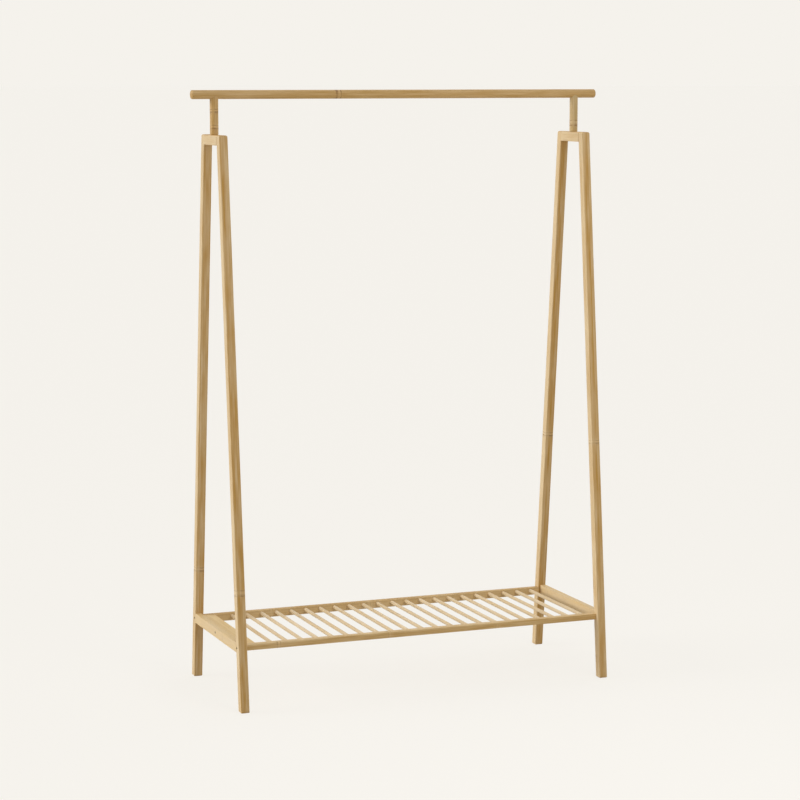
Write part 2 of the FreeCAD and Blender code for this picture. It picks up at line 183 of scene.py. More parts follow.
class Wiring:
    """Adds and links the nodes of one shader tree."""

    MIX_FACTOR, MIX_FIRST, MIX_SECOND, MIX_COLOUR = 0, 6, 7, 2     # sockets of a Mix node for colours

    def __init__(self, tree: bpy.types.NodeTree) -> None:
        """Keeps the tree that the nodes go into."""
        self.tree = tree

    def feed(self, socket: Socket, value: object) -> None:
        """Links a socket to another one, or sets its value.

        Args:
            socket: the input to fill.
            value: an output socket, or a plain value.
        """
        if isinstance(value, Socket):
            self.tree.links.new(value, socket)
        else:
            socket.default_value = value

    def add(self, kind: str, feeds: dict | None = None, **settings: object) -> bpy.types.Node:
        """Adds one node.

        Args:
            kind: the node's type name.
            feeds: inputs by name or number, with what goes into each.
            settings: the node's own properties.

        Returns:
            The new node.
        """
        node = self.tree.nodes.new(kind)
        for name, value in settings.items():
            setattr(node, name, value)
        for key, value in (feeds or {}).items():
            self.feed(node.inputs[key], value)
        return node

    def math(self, operation: str, *values: object) -> Socket:
        """One arithmetic step on up to three values."""
        return self.add("ShaderNodeMath", dict(enumerate(values)), operation=operation).outputs[0]

    def total(self, *terms: tuple[object, float]) -> Socket:
        """The sum of some values, each times its own weight.

        Args:
            terms: pairs of a value and its weight.

        Returns:
            The sum.
        """
        result = 0.0
        for value, weight in terms:
            result = self.math("MULTIPLY_ADD", value, weight, result)
        return result

    def weigh(self, effects: dict[str, object], weights: dict[str, float]) -> Socket:
        """The sum of the named effects, each times its weight."""
        return self.total(*((effects[name], weight) for name, weight in weights.items()))

    def blend(self, amount: object, first: object, second: object) -> Socket:
        """A colour that goes from the first to the second as the amount goes from 0 to 1."""
        feeds = {self.MIX_FACTOR: amount, self.MIX_FIRST: first, self.MIX_SECOND: second}
        return self.add("ShaderNodeMix", feeds, data_type="RGBA").outputs[self.MIX_COLOUR]

    def fade(self, value: object, full: float, none: float) -> Socket:
        """A smooth mask that goes from 1 to 0 between two values.

        Args:
            value: what the mask follows.
            full: where the mask is 1, there and beyond.
            none: where the mask is 0, there and beyond.

        Returns:
            The mask.
        """
        low, high = sorted((full, none))
        at_low, at_high = (1.0, 0.0) if full < none else (0.0, 1.0)
        feeds = {"Value": value, "From Min": low, "From Max": high, "To Min": at_low, "To Max": at_high}
        return self.add("ShaderNodeMapRange", feeds, interpolation_type="SMOOTHSTEP").outputs[0]

    def streaks(self, position: object, streak: Streak) -> Socket:
        """Noise whose three axes are scaled apart, so that it draws out along the weakest one.

        Args:
            position: where the noise is read.
            streak: its scales and its detail.

        Returns:
            The noise, from 0 to 1.
        """
        feeds = {0: position, 1: streak.scale}
        scaled = self.add("ShaderNodeVectorMath", feeds, operation="MULTIPLY").outputs[0]
        feeds = {"Vector": scaled, "Scale": 1.0, "Detail": streak.detail}
        return self.add("ShaderNodeTexNoise", feeds).outputs[0]

    def vector(self, x: object, y: object, z: object) -> Socket:
        """Three values as one vector."""
        return self.add("ShaderNodeCombineXYZ", {0: x, 1: y, 2: z}).outputs[0]

    def parts(self, vector: object) -> list[Socket]:
        """The three values of a vector."""
        return list(self.add("ShaderNodeSeparateXYZ", {0: vector}).outputs)

    def chance(self, vector: object) -> list[Socket]:
        """Three even random values that belong to a vector."""
        noise = self.add("ShaderNodeTexWhiteNoise", {"Vector": vector}, noise_dimensions="3D")
        return list(self.add("ShaderNodeSeparateColor", {0: noise.outputs["Color"]}).outputs)


def new_group(name: str, inputs: dict[str, str], outputs: dict[str, str]) -> tuple:
    """Makes a shader node group with named sockets and nothing between them.

    Args:
        name: the group's name.
        inputs: socket kinds by name.
        outputs: socket kinds by name.

    Returns:
        The group's wiring, its inputs by name, and its output node.
    """
    tree = bpy.data.node_groups.new(name, "ShaderNodeTree")
    for way, sockets in (("INPUT", inputs), ("OUTPUT", outputs)):
        for socket, kind in sockets.items():
            tree.interface.new_socket(socket, in_out=way, socket_type="NodeSocket" + kind)
    wiring = Wiring(tree)
    return wiring, wiring.add("NodeGroupInput").outputs, wiring.add("NodeGroupOutput")


class StripPattern:
    """The node group of laminated strips: fibres, growth joints, glue lines, rubbed edges and end grain."""

    INPUTS = {"Position": "Vector", "Seed": "Float", "Ply": "Float", "Strip": "Float",
              "Half Across": "Float", "Half Wide": "Float", "Culm Pitch": "Float", "Culm Offset": "Float",
              "Culm Spread": "Float", "Culm Share": "Float", "Culm Depth": "Float", "End Grain": "Float",
              "Ply Face": "Float", "Face Tone": "Float",
              "Pale": "Color", "Tan": "Color", "Brown": "Color", "Base Roughness": "Float"}
    OUTPUTS = {"Color": "Color", "Roughness": "Float", "Height": "Float"}
    GLUE_LINE = 0.22 * MM               # reach of a glue line to either side
    CULM_HALF_GAP = 3.0 * MM            # from a growth joint's middle to either line, at the least
    CULM_GAP_RANGE = 3.6 * MM           # what chance adds to that, at the most
    CULM_LINE = 1.8 * MM                # reach of a line to either side
    CULM_SMEAR = 4.0 * MM               # distance to one side at which the smear is full
    CULM_GLOW = 13.0 * MM               # reach of the paler zone, and of the smear
    CULM_WAVE = 6.0 * MM                # range that the lines wander over
    EDGE_FULL, EDGE_NONE = 0.5 * MM, 2.6 * MM   # distances from an edge where rubbing is full, and none
    BROAD = Streak((2.4, 430, 430), 4.0)
    FINE = Streak((9, 1500, 1500), 2.0)
    DASH = Streak((42, 2700, 2700), 1.0)
    PATCH = Streak((8, 22, 22), 2.0)
    WAVE = Streak((7, 45, 45), 1.0)     # how a growth joint wanders on its way round
    BREAK = Streak((5.3, 75, 75), 1.0)  # where its lines fade out
    RUB = Streak((16, 60, 60), 3.0)     # where an edge is rubbed
    DASH_FULL, DASH_NONE = 0.74, 0.58   # noise at which a dash is full, and none
    KEPT_FULL, KEPT_NONE = 0.56, 0.44   # noise at which a growth joint's lines are full, and faintest
    KEPT_LEAST = 0.3                    # what is left of them where they are faintest
    RUB_FULL, RUB_NONE = 0.60, 0.32     # noise at which an edge is rubbed fully, and not at all
    LINES, SMEAR = 0.62, 0.38           # their shares of a growth joint's darkness
    SHIFT = 9.0                         # a strip's random start along its culm
    # Weights of the effects. SPREAD is how far a spot is from the mean tone, and CALM how much of that the
    # flat of a ply keeps. TONE goes from pale to tan, and DARK from there to brown. Level is a constant.
    SPREAD = {"strip": 0.24, "broad": 1.3, "fine": 0.6, "patch": 1.6, "level": -1.87}
    CALM = {"flat": -0.4, "level": 1.0}
    TONE = {"spread": 1.0, "face": -1.0, "glow": -0.2, "edge": -0.12, "level": 0.60}
    DARK = {"dash": 0.30, "line": 1.0, "glue": 0.26, "end": 0.12}
    ROUGH = {"finish": 1.0, "fine": 0.16, "dash": 0.08, "patch": 0.14, "edge": -0.07, "end": 0.14,
             "level": -0.15}
    HEIGHT = {"broad": 0.5, "fine": 0.35, "dash": -0.45, "line": 0.55, "glue": -0.8}

    def __init__(self) -> None:
        """Builds the group once."""
        self.wiring, self.given, self.output = new_group("Bamboo Strips", self.INPUTS, self.OUTPUTS)
        self.tree = self.wiring.tree
        self.along, self.across, self.wide = self.wiring.parts(self.given["Position"])
        self.ply_number, self.ply_edge = self.cell(self.across, self.given["Ply"])
        self.strip_number, self.strip_edge = self.cell(self.wide, self.given["Strip"])
        corner = self.wiring.vector(self.ply_number, self.strip_number, self.given["Seed"])
        self.tone_chance, self.start_chance, self.phase_chance = self.wiring.chance(corner)
        self.put_out()

    def cell(self, distance: Socket, size: Socket) -> tuple[Socket, Socket]:
        """Divides a distance into equal cells, one of them centred on zero.

        Args:
            distance: a distance from the piece's middle.
            size: the size of a cell.

        Returns:
            The cell's number, and the distance to its nearer border.
        """
        wiring = self.wiring
        share = wiring.math("DIVIDE", distance, size)
        number = wiring.math("ROUND", share)
        from_middle = wiring.math("ABSOLUTE", wiring.math("SUBTRACT", share, number))
        return number, wiring.math("MULTIPLY", wiring.math("SUBTRACT", 0.5, from_middle), size)

    def fibres(self) -> dict[str, Socket]:
        """The fibres of the wood, drawn out along the culm.

        Returns:
            Broad streaks, fine streaks, dark vessel dashes and a slow drift of tone, by name.
        """
        wiring = self.wiring
        start = wiring.math("MULTIPLY_ADD", self.start_chance, self.SHIFT, self.along)
        place = wiring.vector(start, self.across, self.wide)
        dash = wiring.fade(wiring.streaks(place, self.DASH), self.DASH_FULL, self.DASH_NONE)
        return {"broad": wiring.streaks(place, self.BROAD), "fine": wiring.streaks(place, self.FINE),
                "dash": dash, "patch": wiring.streaks(place, self.PATCH)}

    def culm(self) -> dict[str, Socket]:
        """The growth joints: a double line round the piece with a smear to one side, in a paler zone.

        Returns:
            How dark the lines and the smear are, and how strong the paler zone is, by name.
        """
        wiring, given = self.wiring, self.given
        from_mark = wiring.math("SUBTRACT", self.along, given["Culm Offset"])
        steps = wiring.math("DIVIDE", from_mark, given["Culm Pitch"])
        steps = wiring.math("MULTIPLY_ADD", self.phase_chance, given["Culm Spread"], steps)
        number = wiring.math("ROUND", steps)
        distance = wiring.math("MULTIPLY", wiring.math("SUBTRACT", steps, number), given["Culm Pitch"])
        way_round = wiring.vector(number, self.across, self.wide)
        wave = wiring.math("SUBTRACT", wiring.streaks(way_round, self.WAVE), 0.5)
        distance = wiring.math("MULTIPLY_ADD", wave, self.CULM_WAVE, distance)
        away = wiring.math("ABSOLUTE", distance)
        shows = wiring.chance(wiring.vector(number, self.ply_number, self.strip_number))[0]
        shown = wiring.math("LESS_THAN", shows, given["Culm Share"])
        kept = wiring.fade(wiring.streaks(way_round, self.BREAK), self.KEPT_FULL, self.KEPT_NONE)
        kept = wiring.total((kept, 1 - self.KEPT_LEAST), (1.0, self.KEPT_LEAST))
        width = wiring.chance(wiring.vector(number, given["Seed"], 0.0))[1]
        half_gap = wiring.total((width, self.CULM_GAP_RANGE), (1.0, self.CULM_HALF_GAP))
        from_line = wiring.math("ABSOLUTE", wiring.math("SUBTRACT", away, half_gap))
        zone = wiring.fade(away, 0.0, self.CULM_GLOW)
        smear = wiring.math("MULTIPLY", wiring.fade(distance, -self.CULM_SMEAR, 0.0), zone)
        line = wiring.total((wiring.fade(from_line, 0.0, self.CULM_LINE), self.LINES), (smear, self.SMEAR))
        for mask in (kept, shown, given["Culm Depth"]):
            line = wiring.math("MULTIPLY", line, mask)
        return {"line": line, "glow": wiring.math("MULTIPLY", zone, shown)}

    def edge(self) -> Socket:
        """The long rounded edges, rubbed paler here and there along their length.

        Returns:
            A mask of the rubbed stretches.
        """
        wiring, given = self.wiring, self.given
        inside = [wiring.math("SUBTRACT", given[half], wiring.math("ABSOLUTE", distance))
                  for half, distance in (("Half Across", self.across), ("Half Wide", self.wide))]
        rim = wiring.fade(wiring.math("MAXIMUM", *inside), self.EDGE_FULL, self.EDGE_NONE)
        broken = wiring.fade(wiring.streaks(given["Position"], self.RUB), self.RUB_FULL, self.RUB_NONE)
        return wiring.math("MULTIPLY", rim, broken)

    def put_out(self) -> None:
        """Adds the effects up, each by its weight, into colour, roughness and height."""
        wiring, given, results = self.wiring, self.given, self.output.inputs
        border = wiring.math("MINIMUM", self.ply_edge, self.strip_edge)
        effects = {"level": 1.0, "strip": self.tone_chance, "edge": self.edge(),
                   "glue": wiring.fade(border, 0.0, self.GLUE_LINE), "end": given["End Grain"],
                   "flat": given["Ply Face"], "finish": given["Base Roughness"],
                   "face": wiring.math("MULTIPLY", given["Ply Face"], given["Face Tone"]),
                   **self.fibres(), **self.culm()}
        effects["spread"] = wiring.math("MULTIPLY", wiring.weigh(effects, self.SPREAD),
                                        wiring.weigh(effects, self.CALM))
        colour = wiring.blend(wiring.weigh(effects, self.TONE), given["Pale"], given["Tan"])
        dark = wiring.weigh(effects, self.DARK)
        wiring.feed(results["Color"], wiring.blend(dark, colour, given["Brown"]))
        wiring.feed(results["Roughness"], wiring.weigh(effects, self.ROUGH))
        wiring.feed(results["Height"], wiring.weigh(effects, self.HEIGHT))


class ToolMarks:
    """The node group of a handled metal part: fine scratches and rubbed spots."""

    INPUTS = {"Position": "Vector", "Base": "Color", "Worn": "Color", "Base Roughness": "Float"}
    OUTPUTS = {"Color": "Color", "Roughness": "Float", "Height": "Float"}
    SCRATCH, SPOT = Streak((900, 5200, 900), 2.0), Streak((650, 650, 650), 3.0)
    SCRATCH_FULL, SCRATCH_NONE = 0.70, 0.52     # noise at which a scratch is full, and none
    SPOT_FULL, SPOT_NONE = 0.66, 0.50           # the same for a rubbed spot
    WORN = {"scratch": 0.55, "spot": 0.45}
    ROUGH = {"finish": 1.0, "worn": -0.14}
    HEIGHT = {"scratch": -0.6, "spot": -0.3}

    def __init__(self) -> None:
        """Builds the group once."""
        wiring, given, output = new_group("Metal Marks", self.INPUTS, self.OUTPUTS)
        self.tree = wiring.tree
        scratch, spot = (wiring.streaks(given["Position"], streak) for streak in (self.SCRATCH, self.SPOT))
        effects = {"finish": given["Base Roughness"],
                   "scratch": wiring.fade(scratch, self.SCRATCH_FULL, self.SCRATCH_NONE),
                   "spot": wiring.fade(spot, self.SPOT_FULL, self.SPOT_NONE)}
        effects["worn"] = wiring.weigh(effects, self.WORN)
        wiring.feed(output.inputs["Color"], wiring.blend(effects["worn"], given["Base"], given["Worn"]))
        wiring.feed(output.inputs["Roughness"], wiring.weigh(effects, self.ROUGH))
        wiring.feed(output.inputs["Height"], wiring.weigh(effects, self.HEIGHT))


class Workshop:
    """Makes the materials, from one set of node groups."""

    WOOD_RELIEF, METAL_RELIEF = 0.25 * MM, 0.05 * MM    # how high the relief stands
    METAL_BUMP = 0.4
    COAT_ROUGHNESS = 0.35
    FACING_FULL, FACING_NONE = 0.9, 0.5     # how squarely a surface faces an axis of the grain

    def __init__(self) -> None:
        """Builds the groups that the materials share."""
        self.strips = StripPattern().tree
        self.marks = ToolMarks().tree

    def shader(self, name: str) -> tuple[bpy.types.Material, Wiring, bpy.types.Node]:
        """An empty material with its shader node.

        Args:
            name: the material's name.

        Returns:
            The material, its wiring and its Principled node.
        """
        material = bpy.data.materials.new(name)
        material.use_nodes = True
        wiring = Wiring(material.node_tree)
        return material, wiring, material.node_tree.nodes["Principled BSDF"]

    def dress(self, wiring: Wiring, shader: bpy.types.Node, group: bpy.types.Node,
              strength: float, distance: float) -> None:
        """Links a pattern's colour, roughness and height to a shader.

        Args:
            wiring: the material's wiring.
            shader: its Principled node.
            group: the pattern's node.
            strength: how strong the relief is.
            distance: how high the relief is.
        """
        bump = {"Height": group.outputs["Height"], "Strength": strength, "Distance": distance}
        wiring.feed(shader.inputs["Base Color"], group.outputs["Color"])
        wiring.feed(shader.inputs["Roughness"], group.outputs["Roughness"])
        wiring.feed(shader.inputs["Normal"], wiring.add("ShaderNodeBump", bump).outputs[0])

    def wood(self, name: str, finish: WoodFinish, grain: Grain) -> bpy.types.Material:
        """The material of one piece of wood, its pattern centred on the piece and turned along it.

        Args:
            name: the piece's name.
            finish: tones and gloss.
            grain: how the strips lie.

        Returns:
            The material.
        """
        material, wiring, shader = self.shader(name + "_" + finish.slot)
        place = wiring.add("ShaderNodeTexCoord").outputs["Object"]
        turned = wiring.add("ShaderNodeMapping", {"Vector": place, "Location": grain.centre,
                                                  "Rotation": grain.turn()}, vector_type="TEXTURE")
        normal = wiring.add("ShaderNodeNewGeometry").outputs["Normal"]
        facing = {}
        for key, axis in (("End Grain", grain.along), ("Ply Face", grain.across)):
            dot = wiring.add("ShaderNodeVectorMath", {0: normal, 1: axis}, operation="DOT_PRODUCT")
            facing[key] = wiring.fade(wiring.math("ABSOLUTE", dot.outputs["Value"]),
                                      self.FACING_FULL, self.FACING_NONE)
        feeds = {"Position": turned.outputs[0], "Seed": grain.seed, "Ply": grain.ply, "Strip": grain.strip,
                 "Half Across": grain.half_across, "Half Wide": grain.half_wide,
                 "Culm Pitch": grain.culm.pitch, "Culm Offset": grain.culm.offset,
                 "Culm Spread": grain.culm.spread, "Culm Share": grain.culm.share,
                 "Culm Depth": grain.culm.depth, "Face Tone": grain.face,
                 "Pale": finish.pale, "Tan": finish.tan, "Brown": finish.brown,
                 "Base Roughness": finish.roughness, **facing}
        group = wiring.add("ShaderNodeGroup", feeds, node_tree=self.strips)
        self.dress(wiring, shader, group, finish.bump, self.WOOD_RELIEF)
        shader.inputs["Specular IOR Level"].default_value = finish.specular
        shader.inputs["Coat Weight"].default_value = finish.coat
        shader.inputs["Coat Roughness"].default_value = self.COAT_ROUGHNESS
        return material

    def metal(self, name: str, finish: MetalFinish) -> bpy.types.Material:
        """The material of a group of metal fasteners.

        Args:
            name: the group's name.
            finish: tones and gloss.

        Returns:
            The material.
        """
        material, wiring, shader = self.shader(name + "_" + finish.slot)
        place = wiring.add("ShaderNodeTexCoord").outputs["Object"]
        feeds = {"Position": place, "Base": finish.base, "Worn": finish.worn,
                 "Base Roughness": finish.roughness}
        group = wiring.add("ShaderNodeGroup", feeds, node_tree=self.marks)
        self.dress(wiring, shader, group, self.METAL_BUMP, self.METAL_RELIEF)
        shader.inputs["Metallic"].default_value = finish.metallic
        shader.inputs["Specular IOR Level"].default_value = finish.specular
        return material


def paint(piece: bpy.types.Object, material: bpy.types.Material) -> None:
    """Gives a piece one material in place of all it has."""
    piece.data.materials.clear()
    piece.data.materials.append(material)


def middle(node: str) -> Vector:
    """The middle of a CAD node's box."""
    low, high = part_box(node)
    return (low + high) / 2


def reach(node: str) -> Vector:
    """The size of a CAD node's box."""
    low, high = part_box(node)
    return high - low


def closed_lathe(name: str, rings: np.ndarray, first_tip: np.ndarray, last_tip: np.ndarray,
                 sharp: float) -> bpy.types.Object:
    """Skins a stack of rings and closes both ends with a fan.

    Each ring is joined to the next by quads, from vertex numbers laid out as a grid and rolled by one.

    Args:
        name: the new object's name.
        rings: points as an array of ring, place on the ring, and coordinate.
        first_tip: the middle of the first end.
        last_tip: the middle of the last end.
        sharp: the angle between faces, in radians, past which an edge stays sharp.

    Returns:
        The new object, at the origin.
    """
    count, around = rings.shape[:2]
    grid = np.arange(count * around).reshape(count, around)
    beside = np.roll(grid, -1, axis=1)
    quads = np.stack([grid[:-1], beside[:-1], beside[1:], grid[1:]], axis=-1).reshape(-1, 4)
    tips = np.full(around, count * around)
    first_fan = np.stack([tips, beside[0], grid[0]], axis=-1)
    last_fan = np.stack([tips + 1, grid[-1], beside[-1]], axis=-1)
    points = np.vstack([rings.reshape(-1, 3), first_tip, last_tip])
    mesh = bpy.data.meshes.new(name)
    mesh.from_pydata(points.tolist(), [], quads.tolist() + first_fan.tolist() + last_fan.tolist())
    mesh.polygons.foreach_set("use_smooth", np.ones(len(mesh.polygons), dtype=bool))
    mesh.set_sharp_from_angle(angle=sharp)
    piece = bpy.data.objects.new(name, mesh)
    bpy.context.scene.collection.objects.link(piece)
    return piece


def stand_in(piece: bpy.types.Object, node: str) -> None:
    """Lets a new piece ride on the rack in place of a CAD node.

    Args:
        piece: the new piece.
        node: the CAD node's name.
    """
    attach(piece, BODY)
    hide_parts(node)
    log.info("%s: %d faces in place of %s", piece.name, len(piece.data.polygons), node)


@dataclass
class RoundBar:
    """A turned bar with rounded ends: the hanging rail or a rung."""

    node: str
    name: str
    axis: Vector
    finish: WoodFinish
    ease: float                 # rounding of the ends
    around: int = 64
    barrel: int = 120           # rings on the straight stretch, with its two ends
    corner: int = 6             # rings on a rounded end
    waver: float = 0.04 * MM    # how far sanding leaves the bar out of true
    phase: float = 0.0
    sharp: float = math.radians(50)     # edges past this angle stay sharp

    WAVES = ((9, 2, 1), (23, -3, 2))    # each wave's rate along the bar, about it and with its phase

    def __post_init__(self) -> None:
        """Takes the bar's length, radius and middle from its CAD node."""
        size = reach(self.node)
        self.length = abs(size.dot(self.axis))
        self.radius = min(size) / 2
        self.centre = middle(self.node)

    def profile(self) -> tuple[np.ndarray, np.ndarray]:
        """The bar's outline: a quarter circle, a straight barrel and a quarter circle.

        Returns:
            Places along the bar, and the radius at each.
        """
        turn = np.linspace(0, np.pi / 2, self.corner)
        rise = self.radius - self.ease + self.ease * np.sin(turn)
        end = self.length / 2 - self.ease + self.ease * np.cos(turn)
        straight = np.linspace(-end[-1], end[-1], self.barrel)[1:-1]
        along = np.concatenate([-end, straight, end[::-1]])
        radii = np.concatenate([rise, np.full(straight.shape, self.radius), rise[::-1]])
        return along, radii

    def surface(self) -> np.ndarray:
        """The profile turned about the bar's axis, a hair out of true by the mean of slow sine waves.

        Returns:
            Points as an array of ring, place on the ring, and coordinate.
        """
        along, radii = (line[:, None] for line in self.profile())
        angle = np.linspace(0, 2 * np.pi, self.around, endpoint=False)[None, :]
        waves = [np.sin(rate * along + turns * angle + shift * self.phase)
                 for rate, turns, shift in self.WAVES]
        radii = radii + self.waver * (np.mean(waves, axis=0) - 1)
        first = np.array(self.axis.yzx)
        second = np.array(self.axis.zxy)
        points = along[..., None] * np.array(self.axis) + np.array(self.centre)
        outward = np.cos(angle)[..., None] * second + np.sin(angle)[..., None] * first
        return points + radii[..., None] * outward

    def build(self) -> bpy.types.Object:
        """Skins the surface and puts it in the CAD node's place.

        Returns:
            The new piece.
        """
        rings = self.surface()
        half = np.array(self.axis) * self.length / 2
        centre = np.array(self.centre)
        piece = closed_lathe(self.name, rings, centre - half, centre + half, self.sharp)
        stand_in(piece, self.node)
        return piece


@dataclass
class Post:
    """A round post, hollowed at the top to hold the rail and ringed where its culm had joints."""

    side: Side
    finish: WoodFinish
    marks: tuple[float, ...]    # heights of the growth joints
    swell: float = 0.16 * MM    # how far a joint stands out
    swell_width: float = 2.2 * MM
    foot_ease: float = 0.8 * MM
    around: int = 72
    rise: int = 70              # rings up the post
    seat: int = 8               # steps across the hollowed top, from rim to middle
    sharp: float = math.radians(40)     # edges past this angle stay sharp

    def __post_init__(self) -> None:
        """Takes the post's radius and place from its CAD node, and the hollow from the rail."""
        self.node = self.side.value + "_post"
        low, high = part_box(self.node)
        self.radius = (high.x - low.x) / 2
        self.centre = middle(self.node)
        self.foot = low.z
        self.rail_axis = middle("hanging_rail").z
        self.hollow = reach("hanging_rail").z / 2

    def seat_height(self, y: np.ndarray) -> np.ndarray:
        """Height of the hollowed top: the underside of the rail, a circle about the rail's axis."""
        return self.rail_axis - np.sqrt(np.maximum(self.hollow ** 2 - y ** 2, 0))

    def surface(self) -> np.ndarray:
        """Rings up the wall to the hollow's rim, then rings that shrink across the hollow.

        On the wall the height goes in even steps from the foot to the rim above each place, and the radius
        swells by a bell curve about each mark. The lowest rings draw in along a quarter circle.

        Returns:
            Points as an array of ring, place on the ring, and coordinate.
        """
        angle = np.linspace(0, 2 * np.pi, self.around, endpoint=False)[None, :]
        rim = self.seat_height(self.radius * np.sin(angle))
        height = self.foot + (rim - self.foot) * np.linspace(0, 1, self.rise)[:, None]
        bells = [np.exp(-((height - mark) / self.swell_width) ** 2) for mark in self.marks]
        radius = self.radius + self.swell * (sum(bells) - 1)
        low = np.clip((self.foot + self.foot_ease - height) / self.foot_ease, 0, 1)
        radius = radius - self.foot_ease * (1 - np.sqrt(1 - low ** 2))
        wall = np.stack([radius * np.cos(angle), radius * np.sin(angle), height], axis=-1)
        inward = radius[-1:] * np.linspace(1, 0, self.seat, endpoint=False)[1:, None]
        y = inward * np.sin(angle)
        top = np.stack([inward * np.cos(angle), y, self.seat_height(y)], axis=-1)
        return np.concatenate([wall, top]) + np.array([self.centre.x, self.centre.y, 0])

    def build(self) -> bpy.types.Object:
        """Skins the surface and puts it in the CAD node's place.

        Returns:
            The new piece.
        """
        axis = np.array([self.centre.x, self.centre.y, 0])
        tips = [axis + np.array([0, 0, z]) for z in (self.foot, self.rail_axis - self.hollow)]
        piece = closed_lathe(self.node + "_turned", self.surface(), *tips, self.sharp)
        stand_in(piece, self.node)
        return piece


@dataclass
class HangingBar:
    """The rail and the two posts that carry it."""

    workshop: Workshop
    finish: WoodFinish = ROUND_BAMBOO
    right_finish: WoodFinish = PALE_ROUND_BAMBOO
    ease: float = 3.0 * MM
    rail_rings: int = 200
    rail_seed: float = 3.0
    rail_joint: CulmMarks = CulmMarks(LONE, -0.163, spread=0.0, share=1.0, depth=3.0)
    post_ply: float = 7.0 * MM
    post_share: float = 0.85    # how many of a post's growth joints show
    post_depth: float = 1.3     # how dark their lines are
    left_seed: float = 11.0
    right_seed: float = 14.0
    left_marks: tuple[float, ...] = (1.4510, 1.4106)
    right_marks: tuple[float, ...] = (1.4150,)

    def build(self) -> None:
        """Builds and dresses the rail and the posts."""
        rail = RoundBar("hanging_rail", "hanging_rail_turned", X_AXIS, self.finish, self.ease,
                        barrel=self.rail_rings)
        grain = Grain(rail.centre, X_AXIS, Z_AXIS, self.rail_seed, face=0.0, culm=self.rail_joint)
        paint(rail.build(), self.workshop.wood("hanging_rail", self.finish, grain))
        for side, marks, finish, seed in (
                (Side.LEFT, self.left_marks, self.finish, self.left_seed),
                (Side.RIGHT, self.right_marks, self.right_finish, self.right_seed)):
            post = Post(side, finish, marks)
            pitch = abs(marks[0] - marks[-1]) or CulmMarks.pitch
            culm = CulmMarks(pitch, marks[0] - post.centre.z, 0.0, self.post_share, self.post_depth)
            grain = Grain(post.centre, Z_AXIS, X_AXIS, seed, ply=self.post_ply, face=0.0, culm=culm)
            paint(post.build(), self.workshop.wood(post.node, finish, grain))


@dataclass
class EndFrame:
    """One end frame: two leaning legs, the block between their tops and the crossbar at the shelf."""

    workshop: Workshop
    side: Side
    joints: dict[End, LegJoint]
    seed: float
    finish: WoodFinish = FRAME_BAMBOO
    crossbar_finish: WoodFinish = CROSSBAR_BAMBOO
    bar_strip: float = 12.5 * MM
    block_seed: float = 5.0     # what the block adds to the frame's seed
    crossbar_seed: float = 7.0  # what the crossbar adds to it

    def leg(self, end: End) -> tuple[str, Grain]:
        """A leg's node, and the grain that follows its lean.

        The tangent of the lean is the depth of the leg's box, less the leg's width, over the height.

        Args:
            end: the front or the rear leg.

        Returns:
            The node's name and the grain.
        """
        node = f"{self.side.value}_{end.name.lower()}_leg"
        size = reach(node)
        lean = math.atan2(size.y - size.x, size.z)
        along = Vector((0, -end.value * math.sin(lean), math.cos(lean)))
        half = size.x / 2
        joint = self.joints[end]
        offset = (joint.height - middle(node).z) / math.cos(lean)
        culm = CulmMarks(LONE, offset, spread=0.0, share=1.0, depth=joint.depth)
        return node, Grain(middle(node), along, X_AXIS, self.seed + end.value, half, half, culm=culm)

    def bar(self, word: str, seed: float) -> tuple[str, Grain]:
        """A bar that runs from leg to leg, and its grain.

        Args:
            word: the bar's own part of its node's name.
            seed: what it adds to the frame's seed.

        Returns:
            The node's name and the grain.
        """
        node = f"{self.side.value}_{word}"
        size = reach(node)
        return node, Grain(middle(node), Y_AXIS, X_AXIS, self.seed + seed, size.x / 2, size.z / 2,
                           strip=self.bar_strip)

    def build(self) -> None:
        """Dresses the four pieces of the frame."""
        for finish, (node, grain) in ((self.finish, self.leg(End.FRONT)), (self.finish, self.leg(End.REAR)),
                                      (self.finish, self.bar("top_block", self.block_seed)),
                                      (self.crossbar_finish, self.bar("crossbar", self.crossbar_seed))):
            paint(frame["nodes"][node], self.workshop.wood(node, finish, grain))
            log.info("%s: dressed", node)


